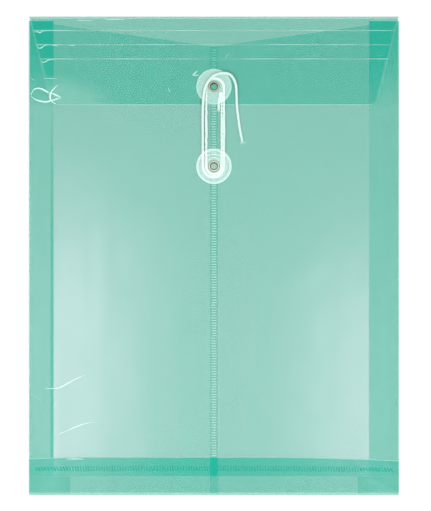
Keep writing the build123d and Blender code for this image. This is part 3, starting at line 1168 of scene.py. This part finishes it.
@dataclass
class CreaseGlintMarks:
    """Raised white crease lines, partly crease whitening and partly painted highlights, most of them on
    the left of the flap and the front.
    """

    film: Material
    flap: Flap
    rise: float = 0.3
    sides: int = 8
    marks: tuple[Crease, ...] = (
        # Top edge and the left ends of the three scores
        Crease("flap_upper_strip", 0.3, 0.7, ((-70.5, 152.8), (-64.0, 152.9), (-57.6, 152.8))),
        Crease("flap_upper_strip", 0.25, 0.6, ((-89.0, 152.4), (-84.0, 152.0), (-78.0, 152.3))),
        Crease("flap_middle_strip", 0.26, 0.8, (
            (-116.4, 145.3), (-115.1, 144.4), (-114.0, 145.4), (-112.9, 144.0), (-111.6, 144.9),
            (-110.5, 145.5), (-107.5, 145.4))),
        Crease("flap_lower_strip", 0.26, 0.8, (
            (-114.4, 136.0), (-113.8, 134.7), (-112.3, 134.0), (-110.5, 135.3), (-108.8, 136.3),
            (-107.6, 136.2))),
        Crease("flap_lower_strip", 0.22, 0.7, ((-104.9, 136.2), (-102.6, 136.1), (-100.5, 136.2))),
        Crease("flap_lower_strip", 0.2, 0.6, ((-94.4, 136.2), (-91.6, 136.1), (-89.2, 136.2))),
        Crease("flap_tongue", 0.26, 0.8, (
            (-111.8, 125.9), (-111.0, 125.1), (-109.2, 125.2), (-107.8, 126.5), (-104.9, 127.0),
            (-102.7, 126.8))),
        Crease("flap_tongue", 0.2, 0.6, ((-110.8, 114.8), (-106.0, 114.6), (-101.2, 114.7))),
        Crease("front_left_panel", 0.2, 0.6, ((-118.8, 115.3), (-117.4, 114.4), (-116.0, 113.2))),
        # A fold that runs across the flap's corner, and the front's film buckled beside and under it
        Crease("flap_tongue", 0.52, 0.95, (
            (-100.6, 110.8), (-103.6, 108.1), (-105.6, 105.2), (-106.0, 102.4), (-105.0, 99.6),
            (-101.8, 97.9))),
        Crease("flap_tongue", 0.5, 0.85, ((-105.2, 105.4), (-102.4, 104.0), (-98.8, 102.4))),
        Crease("flap_tongue", 0.44, 0.7, ((-105.0, 99.8), (-102.0, 101.4), (-98.8, 102.2))),
        Crease("front_left_panel", 0.55, 0.95, (
            (-118.4, 104.4), (-117.3, 107.4), (-114.9, 108.6), (-111.8, 108.4), (-109.2, 107.0),
            (-107.0, 105.6), (-104.0, 105.0), (-101.4, 104.2), (-99.6, 103.2))),
        Crease("front_left_panel", 0.52, 0.9, (
            (-118.4, 103.8), (-116.6, 101.6), (-113.6, 100.5), (-110.5, 99.8), (-107.9, 99.8),
            (-104.9, 100.8), (-102.3, 102.0), (-99.6, 102.6))),
        # Nicks by the upper washer
        Crease("flap_tongue", 0.34, 0.9, ((-13.9, 116.8), (-12.3, 118.2), (-10.8, 119.7))),
        Crease("flap_tongue", 0.3, 0.8, ((-13.6, 116.7), (-11.5, 116.9), (-9.6, 116.9))),
        Crease("flap_lower_strip", 0.2, 0.6, ((9.6, 131.2), (8.4, 129.4), (7.2, 127.9))),
        Crease("flap_tongue", 0.14, 0.5, ((-29.6, 108.8), (-29.1, 107.2), (-28.3, 105.7))),
        # Low on the left of the front, and along the band's edge
        Crease("front_left_panel", 0.34, 0.9, (
            (-109.2, -85.6), (-103.9, -86.1), (-98.6, -84.8), (-94.2, -82.1), (-88.0, -78.9),
            (-82.8, -76.6))),
        Crease("front_left_panel", 0.16, 0.5, ((-104.2, -98.3), (-103.4, -96.4), (-101.9, -94.7))),
        Crease("front_left_panel", 0.16, 0.4, ((-117.0, -89.6), (-115.4, -91.9), (-112.0, -93.4))),
        Crease("front_left_panel", 0.3, 0.85, (
            (-101.0, -115.4), (-95.1, -113.2), (-89.7, -110.6), (-84.4, -108.6), (-77.8, -107.5))),
        Crease("bottom_band", 0.3, 0.8, ((-95.9, -131.4), (-90.0, -131.2), (-84.0, -131.4))),
    )

    def build(self) -> None:
        """Raise the marks, one piece to each body that carries some."""
        shapes: dict[str, list] = {}
        whites: dict[str, list] = {}
        bodies = dict(self.flap.strips)
        for mark in self.marks:
            body = bodies.get(mark.node, "front")
            top = box_mm(mark.node)[1].z
            lift = self.flap.lift_at if mark.node == "flap_tongue" else lambda x, y: 0.0
            line = smooth_line("crease_glint_line", [Vector((x, y, top + lift(x, y))) for x, y in mark.spots])
            vertices, faces = tube(line, mark.swell, self.sides)
            heights = [point.z for point in line for _ in range(self.sides)]
            low = [(x, y, height + (z - height) * self.rise)
                   for (x, y, z), height in zip(vertices, heights)]
            shapes.setdefault(body, []).append((low, faces))
            whites.setdefault(body, []).extend([mark.white] * len(low))
        for body, group in shapes.items():
            piece = mesh_piece(f"{body}_crease_glint_marks", *join_shapes(group), whites[body])
            settle(piece, body, Slot.FILM, self.film)


def smooth_line(name: str, control: Sequence[Vector], steps: int = 12) -> list[Vector]:
    """Read the points of a smooth open NURBS line with the given control points.

    Args:
        name: Name of the short-lived curve.
        control: Control points in millimetres.
        steps: Points read for each control point.

    Returns:
        Points along the line in millimetres.
    """
    data = bpy.data.curves.new(name, "CURVE")
    data.dimensions = "3D"
    data.resolution_u = steps
    spline = data.splines.new("NURBS")
    spline.points.add(len(control) - 1)
    for point, spot in zip(spline.points, control):
        point.co = (*spot, 1.0)
    spline.order_u = 3
    spline.use_endpoint_u = True
    holder = bpy.data.objects.new(name, data)
    bpy.context.scene.collection.objects.link(holder)
    bpy.context.view_layer.update()
    mesh = bpy.data.meshes.new_from_object(holder.evaluated_get(bpy.context.evaluated_depsgraph_get()))
    points = [vertex.co.copy() for vertex in mesh.vertices]
    bpy.data.objects.remove(holder)
    bpy.data.curves.remove(data)
    bpy.data.meshes.remove(mesh)
    return points


@dataclass
class Buttons:
    """The two washers that the cord winds under and the eyelets that rivet them on."""

    metal: PressedBrass
    plastics: dict[str, MouldedWasher]

    def build(self) -> None:
        """Dress each washer and its eyelet."""
        for place, plastic in self.plastics.items():
            washer, eyelet = f"{place}_washer", f"{place}_eyelet"
            low, high = box_mm(washer)
            centre = (low + high) / 2
            rim = (high.y - low.y) / 2
            dress(washer, plastic.make(f"moulded_polypropylene_{washer}", centre, rim), clear=True)
            # Without its shadow, the film at the bottom of the narrow bore keeps its colour
            dress(eyelet, self.metal.make(f"pressed_brass_{eyelet}", centre), clear=True)


@dataclass
class TieCord:
    """White twisted cord: knotted under the upper washer, wound round both, with a frayed free end."""

    cotton: Material
    diameter: float = 1.8
    length: float = 322.3
    inner_turn: float = 4.95
    outer_turn: float = 7.2
    right_turn: float = 6.5
    level: float = 3.85
    over_disc: float = 7.9
    handover: float = 12.0
    lay_pitch: float = 4.2
    strands: int = 3
    strand_sides: int = 8
    strand_swell: float = 1.06
    turn_steps: int = 8
    knot_radius: float = 1.15
    knot_strand: float = 0.34
    knot_flat: Point = (4.0, 3.4, 2.2)
    knot_place: Point = (4.45, -4.6, 4.15)
    tail: tuple[Point, ...] = ((3.1, -8.4, 0.1), (3.0, -14.6, 0.0))
    free_fray: float = 2.4
    tail_fray: float = 2.2
    fray_fibres: int = 26
    fray_share: tuple[float, float] = (0.45, 1.0)
    fray_fan: float = 0.3
    fray_splay: float = 1.9
    fray_stray: float = 0.2
    fray_root: Point = (0.45, 0.5, 0.35)
    fray_sag: tuple[float, float] = (0.1, 0.5)
    fray_radius: tuple[float, float] = (0.06, 0.11)
    fray_taper: float = 0.6
    seed: int = 11
    upper: Vector = field(default_factory=lambda: sum(box_mm("upper_washer"), Vector()) / 2)
    lower: Vector = field(default_factory=lambda: sum(box_mm("lower_washer"), Vector()) / 2)

    def half_turn(self, centre: Vector, radius: float, start: float, shift: float = 0.0) -> list[Vector]:
        """Give the control points of half a turn, clockwise as seen from the front.

        Args:
            centre: Washer that the cord goes round.
            radius: Radius of the turn.
            start: Angle of the first point in degrees.
            shift: How far the turn's centre stands off the washer's axis along X.

        Returns:
            Control points.
        """
        points = []
        for step in range(self.turn_steps + 1):
            angle = math.radians(start - 180 * step / self.turn_steps)
            points.append(Vector((centre.x + shift + radius * math.cos(angle),
                                  centre.y + radius * math.sin(angle), self.level)))
        return points

    def route(self) -> list[Vector]:
        """Give the control points of the whole cord, from the knot to the free end.

        Returns:
            Control points in millimetres.
        """
        inner, outer, right = self.inner_turn, self.outer_turn, self.right_turn
        knot_y = self.upper.y + self.knot_place[1]
        points = [Vector((inner, knot_y, self.level)), Vector((inner, knot_y - 9.0, self.level))]
        points += self.half_turn(self.lower, inner, 0)
        points += self.half_turn(self.upper, (inner + right) / 2, 180, (right - inner) / 2)
        points += self.half_turn(self.lower, (outer + right) / 2, 0, (right - outer) / 2)
        # The free end climbs over the upper washer, round its top and down its right side
        up, over, lie = self.upper.y, self.over_disc, self.level
        points += [Vector(point) for point in (
            (-outer, self.lower.y + self.handover, lie),
            (-outer, self.lower.y + self.handover + 7, lie),
            (-outer - 0.1, up - 20, lie + 1.2),
            (-outer + 0.2, up - 10, over),
            (-outer + 1.3, up - 0.5, over + 0.1),
            (-1.6, up + 6.2, over),
            (4.2, up + 8.6, over),
            (10.6, up + 8.2, over - 0.3),
            (14.2, up + 2.4, lie + 2.2),
            (14.6, up - 5, lie + 0.3),
            (14.8, up - 12.6, lie + 0.1),
            (15.8, up - 20.4, lie - 0.5),
            (16.8, up - 28, lie - 0.9),
            (18.4, up - 35.2, lie - 1.0),
        )]
        return points

    def twist(self, line: Sequence[Vector]) -> Shape:
        """Lay twisted strands along a line.

        Args:
            line: Middle line of the cord.

        Returns:
            Vertex positions and faces.
        """
        strand = self.diameter / 2 / (1 + 2 / math.sqrt(3))
        lay = strand * 2 / math.sqrt(3)
        paths = [[] for _ in range(self.strands)]
        gone = 0.0
        for index, (spot, (normal, other)) in enumerate(zip(line, cross_frames(line))):
            if index:
                gone += (spot - line[index - 1]).length
            for number, path in enumerate(paths):
                angle = 2 * math.pi * (gone / self.lay_pitch + number / self.strands)
                path.append(spot + (normal * math.cos(angle) + other * math.sin(angle)) * lay)
        thick = strand * self.strand_swell
        return join_shapes(tube(path, lambda share: thick, self.strand_sides) for path in paths)

    def fray(self, tip: Vector, way: Vector, reach: float, numbers: random.Random) -> Shape:
        """Spread loose fibres from a cut end.

        Args:
            tip: Cut end of the cord.
            way: Direction that the cord ends in.
            reach: Longest fibre.
            numbers: Seeded random numbers.

        Returns:
            Vertex positions and faces.
        """
        shapes = []
        side = Vector((way.y, -way.x, 0.0)).normalized()
        wide, back, high = self.fray_root
        sag, most = self.fray_sag
        for _ in range(self.fray_fibres):
            length = reach * numbers.uniform(*self.fray_share)
            fan = numbers.gauss(0.0, self.fray_fan)
            start = tip - way * back + side * numbers.uniform(-wide, wide)
            start.z += numbers.uniform(-high, high)
            middle = start + (way + side * fan) * length * 0.5
            stray = numbers.uniform(-self.fray_stray, self.fray_stray)
            end = start + (way + side * (self.fray_splay * fan + stray)) * length
            end.z = max(start.z - sag, tip.z - most)
            line = smooth_line("fibre", [start, middle, end], 4)
            thick = numbers.uniform(*self.fray_radius)
            shapes.append(tube(line, lambda share, thick=thick: thick * (1 - self.fray_taper * share), 5))
        return join_shapes(shapes)

    def knot(self, centre: Vector) -> Shape:
        """Tie the cord's end in a small overhand knot.

        Args:
            centre: Middle of the knot.

        Returns:
            Vertex positions and faces.
        """
        # A trefoil, pressed flat enough to lie under the washer
        line = []
        across, along, upright = self.knot_flat
        for angle in spread(0, 2 * math.pi, 60):
            line.append(centre + Vector((
                (math.sin(angle) + 2 * math.sin(2 * angle)) * self.knot_radius / across,
                (math.cos(angle) - 2 * math.cos(2 * angle)) * self.knot_radius / along,
                -math.sin(3 * angle) * self.knot_radius / upright,
            )))
        return tube(line, lambda share: self.diameter * self.knot_strand, 10)

    def build(self) -> None:
        numbers = random.Random(self.seed)
        line = smooth_line("tie_cord_route", self.route())
        cord = mesh_piece("tie_cord", *self.twist(line))
        settle(cord, "flap_end", Slot.STRING, self.cotton, "string_winding", "string_free_end")
        centre = Vector((self.knot_place[0], self.upper.y + self.knot_place[1], self.knot_place[2]))
        tail_route = [centre]
        tail_route += [Vector((x, self.upper.y + y, self.level + z)) for x, y, z in self.tail]
        tail_line = smooth_line("tail_route", tail_route)
        tail = mesh_piece("cord_knot_and_tail", *join_shapes([self.knot(centre), self.twist(tail_line)]))
        settle(tail, "flap_end", Slot.STRING, self.cotton, "string_knot_tail")
        for name, stretch, reach in (("free_end_fray", line, self.free_fray),
                                     ("tail_fray", tail_line, self.tail_fray)):
            way = (stretch[-1] - stretch[-3]).normalized()
            piece = mesh_piece(name, *self.fray(stretch[-1], way, reach, numbers))
            settle(piece, "flap_end", Slot.STRING, self.cotton)


@dataclass
class Studio:
    """White floor, soft light from above and the camera straight over the envelope."""

    floor_half: float = 1.6
    floor_drop: float = 0.0004
    paper_colour: str = "#f4f4f4"
    clear_layers: int = 40
    lens: float = 85.0
    sensor: float = 36.0
    camera_height: float = 0.7826
    camera_middle: tuple[float, float] = (0.001, 0.0003)
    softbox_size: tuple[float, float] = (0.24, 0.54)
    softboxes: tuple[tuple[Point, float], ...] = (
        ((-0.29, -0.2, 1.15), 9.0),
        ((0.3, -0.28, 1.15), 8.0),
    )
    fill_strength: float = 0.36
    floor_glow: float = 0.84

    def build(self) -> None:
        """Set up the floor, the light and the camera."""
        self.floor()
        self.light()
        self.camera()
        scene = bpy.context.scene
        scene.view_settings.view_transform = "Standard"
        # A sight line through pleats, flap and washer crosses more clear layers than the default allows
        scene.cycles.transparent_max_bounces = self.clear_layers

    def seen_white(self, tree: Tree) -> Socket:
        """Mark the rays that see the backdrop as plain white.

        Args:
            tree: Node tree of the floor or the world.

        Returns:
            A socket that is 1 for camera, glossy and transmission rays.
        """
        path = add_node(tree, "ShaderNodeLightPath").outputs
        pair = add_node(tree, "ShaderNodeMath", {"operation": "MAXIMUM"}, {
            0: path["Is Camera Ray"], 1: path["Is Glossy Ray"]})
        every = add_node(tree, "ShaderNodeMath", {"operation": "MAXIMUM"}, {
            0: pair.outputs[0], 1: path["Is Transmission Ray"]})
        return every.outputs[0]

    def floor(self) -> None:
        """Lay the white floor, which still takes a faint shadow."""
        half, level = self.floor_half / MM, -self.floor_drop / MM
        plane = mesh_piece("floor", [(-half, -half, level), (half, -half, level), (half, half, level),
                                     (-half, half, level)], [(0, 1, 2, 3)])
        material, tree, shader = new_material("white_paper_backdrop")
        tree.nodes.remove(shader)
        paper = add_node(tree, "ShaderNodeBsdfDiffuse", inputs={"Color": linear(self.paper_colour)})
        glow = add_node(tree, "ShaderNodeEmission", inputs={"Color": (1, 1, 1, 1), "Strength": 1.0})
        share = add_node(tree, "ShaderNodeMath", {"operation": "MULTIPLY"}, {
            0: self.seen_white(tree), 1: self.floor_glow})
        mix = add_node(tree, "ShaderNodeMixShader", inputs={
            0: share.outputs[0], 1: paper.outputs[0], 2: glow.outputs[0]})
        tree.links.new(mix.outputs[0], tree.nodes["Material Output"].inputs["Surface"])
        plane.data.materials.append(material)

    def light(self) -> None:
        """Hang two softboxes over the lower half, left and right of the seam, in a pale surround."""
        for place, watts in self.softboxes:
            lamp = bpy.data.lights.new("softbox", "AREA")
            lamp.shape = "RECTANGLE"
            lamp.size, lamp.size_y = self.softbox_size
            lamp.energy = watts
            holder = bpy.data.objects.new("softbox", lamp)
            holder.location = place
            holder.rotation_euler = Vector((0, 0, -1)).rotation_difference(-holder.location).to_euler()
            bpy.context.scene.collection.objects.link(holder)
        world = bpy.data.worlds.new("pale_surround")
        bpy.context.scene.world = world
        world.use_nodes = True
        tree = world.node_tree
        strength = add_node(tree, "ShaderNodeMapRange", inputs={
            "Value": self.seen_white(tree), "To Min": self.fill_strength, "To Max": 1.0})
        surround = tree.nodes["Background"]
        surround.inputs["Color"].default_value = (1, 1, 1, 1)
        tree.links.new(strength.outputs["Result"], surround.inputs["Strength"])

    def camera(self) -> None:
        """Look straight down, with the top of the envelope at the top of the picture."""
        data = bpy.data.cameras.new("camera")
        data.lens = self.lens
        data.sensor_width = self.sensor
        holder = bpy.data.objects.new("camera", data)
        holder.location = (*self.camera_middle, self.camera_height)
        bpy.context.scene.collection.objects.link(holder)
        bpy.context.scene.camera = holder


def main() -> None:
    """Build and dress every piece."""
    logging.basicConfig(level=logging.INFO, format="%(name)s: %(message)s", stream=sys.stdout)
    TieCord(TwistedCotton().make()).build()
    left, right = box_mm("left_gusset_front_half")[1].x, box_mm("right_gusset_front_half")[0].x
    reach = (right - left) / 2
    pleats = ((left + right) / 2, reach - PLEAT_BLUR, reach + PLEAT_BLUR)
    front_end = box_mm("front_left_panel")[0].y
    front_film = PolypropyleneFilm(dulled=pleats).make()
    back_film = PolypropyleneFilm("backing_polypropylene_film", specular=0.1).make()
    band_film = LayeredFilm("welded_polypropylene_film", opacity=0.37, deep_opacity=0.52,
                            deep_from=front_end - WELD_BLUR, deep_to=front_end + WELD_BLUR).make()
    weld_film = PolypropyleneFilm("pressed_polypropylene_film", opacity=0.7, specular=0.05).make()
    seam_film = PolypropyleneFilm("lapped_polypropylene_film", opacity=0.07, specular=0.05).make()
    corner_film = PolypropyleneFilm("deep_pressed_polypropylene_film", opacity=0.9, specular=0.05).make()
    flap_film = PolypropyleneFilm("scored_polypropylene_film", specular=0.15).make()
    edge = box_mm("right_gusset_back_half")[1].x
    outer_fold = (edge - OUTER_FOLD[0], edge - OUTER_FOLD[1])
    inner_crease = (left - INNER_CREASE[0], left - INNER_CREASE[1])
    pleat_films = {
        Side.LEFT: LayeredFilm("left_pleated_polypropylene_film", opacity=0.05, deep_opacity=0.6,
                               crease=inner_crease, fold=outer_fold).make(),
        Side.RIGHT: LayeredFilm("right_pleated_polypropylene_film", opacity=0.09, deep_opacity=0.42,
                                fold=outer_fold).make(),
    }
    Pocket(front_film, back_film, band_film, weld_film, seam_film, corner_film, pleat_films).build()
    flap = Flap(flap_film)
    flap.build()
    CreaseGlintMarks(flap_film, flap).build()
    # The upper washer lies on deep green, where the marks of its mould show less
    faint = MouldedWasher(opacity=0.17, rim_opacity=0.28, ring_opacity=0.22)
    Buttons(PressedBrass(), {"upper": faint, "lower": MouldedWasher()}).build()
    Studio().build()


if __name__ == "__main__":
    main()
